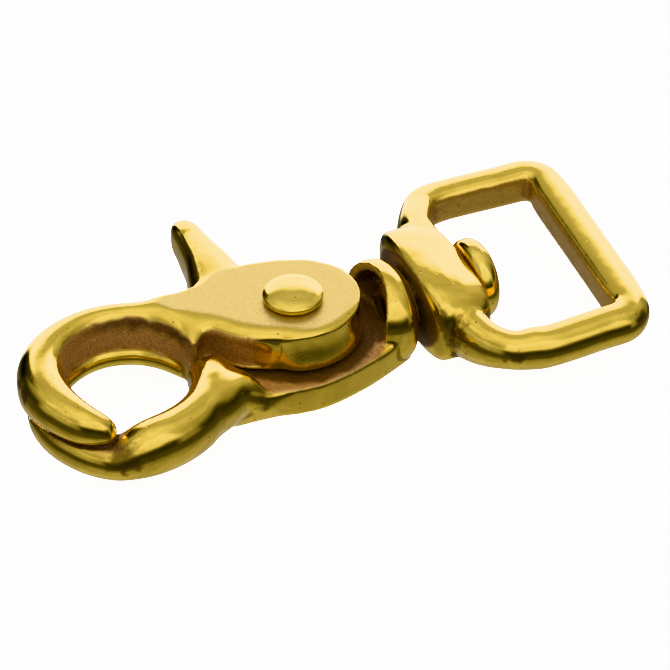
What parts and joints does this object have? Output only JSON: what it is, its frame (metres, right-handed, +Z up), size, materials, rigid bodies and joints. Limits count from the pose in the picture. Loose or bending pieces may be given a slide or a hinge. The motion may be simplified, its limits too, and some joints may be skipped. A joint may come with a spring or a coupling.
{
  "type": "trigger snap",
  "caption": "Trigger snap with a round hook, a spring-loaded jaw with a thumb lever, and a swivelling square eye for a strap.",
  "frame": {"origin": "below the middle of the bounding box, on the plane that the snap's flat underside lies on", "axes": "+X from the hook to the square eye, +Y towards the thumb lever's side, +Z up out of the pivot rivet's domed head"},
  "size_m": [0.074, 0.0384, 0.0105],
  "materials": {
    "cast_brass": "polished, rough in the recesses",
    "rubbed_brass": "polished edges, finely rubbed flat top",
    "turned_brass": "polished",
    "spring_steel": "bare drawn wire"
  },
  "bodies": {
    "snap": {"body": "cast_brass", "pivot_rivet": "turned_brass", "trigger_spring": "spring_steel", "swivel_pin": "turned_brass"},
    "trigger": {"trigger": "rubbed_brass"},
    "eye": {"swivel_eye": "cast_brass"}
  },
  "joints": [
    {"name": "trigger_pivot", "type": "hinge", "parent": "snap", "child": "trigger", "pos_m": [-0.00335, -0.00162, 0.0067], "axis": [0, 0, -1], "range_deg": [0, 25], "stiffness_Nm_per_rad": 0.05, "springref_deg": -28.65, "deforming": ["trigger_spring"]},
    {"name": "swivel", "type": "hinge", "parent": "snap", "child": "eye", "pos_m": [0.01165, -0.00212, 0.0049], "axis": [1, 0, 0], "continuous": true}
  ]
}
